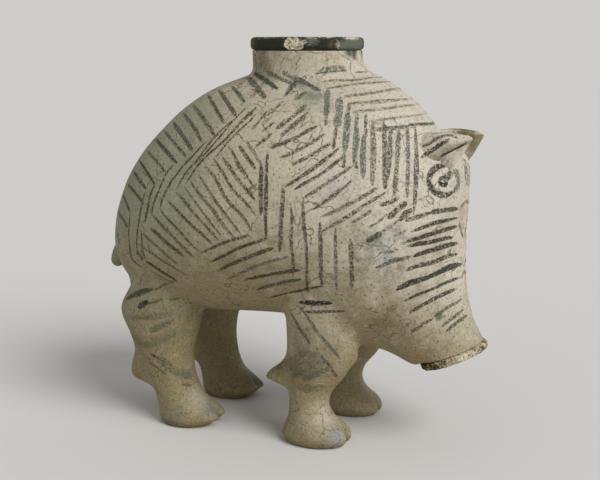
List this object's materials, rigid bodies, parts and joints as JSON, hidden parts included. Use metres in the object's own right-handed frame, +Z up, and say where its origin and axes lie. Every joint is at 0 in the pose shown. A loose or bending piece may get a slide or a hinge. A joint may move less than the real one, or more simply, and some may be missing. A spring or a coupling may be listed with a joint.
{
  "type": "boar-shaped vessel",
  "caption": "Hollow ceramic vessel in the shape of a standing boar, with a short collared mouth on its back and a painted hatched pattern.",
  "frame": {"origin": "on the ground, under the middle of the overall length and width", "axes": "+X towards the snout, +Y to the boar's left side, +Z up"},
  "size_m": [0.1524, 0.083, 0.143],
  "materials": {
    "painted_clay": "matt fired clay with a pale slip, painted with dark strokes",
    "dark_paint": "matt fired clay, painted dark all over and chipped",
    "worn_clay": "bare fired clay with worn paint"
  },
  "bodies": {
    "root": {"body_bowl": "painted_clay", "body_dome": "painted_clay", "head_shell": "painted_clay", "neck_collar": "painted_clay", "rim_lip": "dark_paint", "snout_disc": "worn_clay", "tail": "painted_clay", "front_left_leg": "painted_clay", "front_right_leg": "painted_clay", "rear_left_leg": "painted_clay", "rear_right_leg": "painted_clay", "left_ear": "painted_clay", "right_ear": "painted_clay"}
  },
  "joints": []
}
